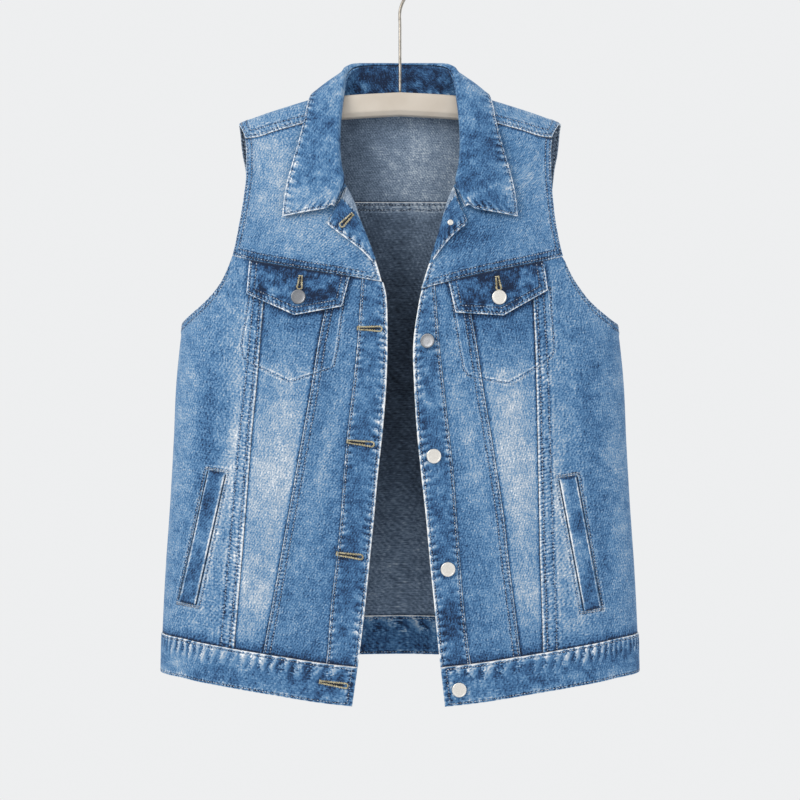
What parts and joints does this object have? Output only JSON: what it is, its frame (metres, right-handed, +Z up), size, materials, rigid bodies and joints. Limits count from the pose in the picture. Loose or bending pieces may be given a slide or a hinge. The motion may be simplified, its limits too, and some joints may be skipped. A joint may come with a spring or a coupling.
{
  "type": "denim vest on a hanger",
  "caption": "Sleeveless denim trucker vest hanging open on a plain wooden hanger, with flap pockets, hand welts and turned-back lapels.",
  "frame": {"origin": "the inside top of the hanger's hook, where it hangs on a rail", "axes": "+Z up, the vest's front faces -Y, +X towards the wearer's left, on the viewer's right"},
  "size_m": [0.562, 0.0923, 0.8714],
  "materials": {
    "denim": "washed mid-blue denim twill, faded pale where it was rubbed",
    "denim_band": "doubled denim, darker, with worn edges and puckered seams",
    "button_metal": "matte silver tack buttons",
    "hanger_wood": "cream painted wood, satin",
    "hook_wire": "bright steel wire"
  },
  "bodies": {
    "root": {"back_yoke": "denim", "back_panel": "denim", "waistband_back": "denim_band", "collar_stand": "denim_band", "collar_leaf": "denim_band", "front_yoke_right": "denim", "side_panel_right": "denim", "taper_panel_right": "denim", "front_panel_right": "denim", "placket_right": "denim_band", "waistband_right": "denim_band", "lapel_right": "denim_band", "pocket_flap_right": "denim_band", "hand_welt_right": "denim_band", "flap_button_right": "button_metal", "front_yoke_left": "denim", "side_panel_left": "denim", "taper_panel_left": "denim", "front_panel_left": "denim", "placket_left": "denim_band", "waistband_left": "denim_band", "lapel_left": "denim_band", "pocket_flap_left": "denim_band", "hand_welt_left": "denim_band", "flap_button_left": "button_metal", "button_1": "button_metal", "button_2": "button_metal", "button_3": "button_metal", "button_waist": "button_metal", "lapel_tack": "button_metal", "hanger_bar": "hanger_wood", "hanger_hook": "hook_wire"}
  },
  "joints": []
}
